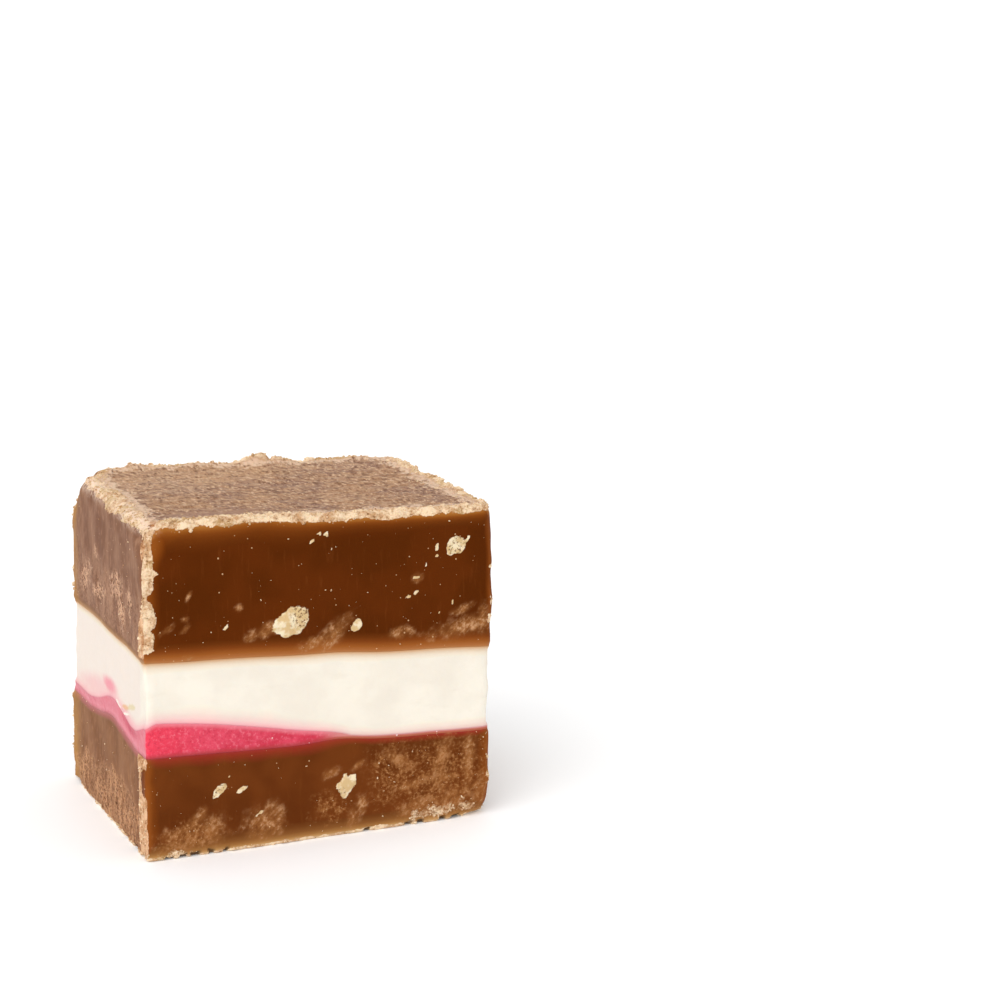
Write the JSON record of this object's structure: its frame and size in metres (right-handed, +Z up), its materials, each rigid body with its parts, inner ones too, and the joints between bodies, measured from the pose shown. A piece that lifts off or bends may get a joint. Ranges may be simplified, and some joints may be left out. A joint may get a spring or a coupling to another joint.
{
  "type": "layered fudge cube",
  "caption": "Bite-size block of layered fudge, knife-cut, with brown, pink wedge, white and brown layers and a crumbly sugared lip round the top face.",
  "frame": {"origin": "middle of the flat underside, on the surface that the piece stands on", "axes": "+Z up through the layers; +X along the long cut side, towards the thin end of the pink wedge; -Y is the cut front that shows the wedge"},
  "size_m": [0.0306, 0.0244, 0.0278],
  "materials": {
    "brown_fudge_base": "satin, waxy, with pale sugar grains and bloom",
    "pink_fudge": "satin, waxy, slightly see-through",
    "white_fudge": "satin, waxy",
    "brown_fudge_top": "satin cut faces, dry crumbly crust round the top",
    "dry_crust": "matt, crumbly",
    "sugar_grain": "small glinting crystals"
  },
  "bodies": {
    "root": {"base_fudge": "brown_fudge_base", "pink_fudge": "pink_fudge", "white_fudge": "white_fudge", "top_fudge": "brown_fudge_top"}
  },
  "joints": []
}
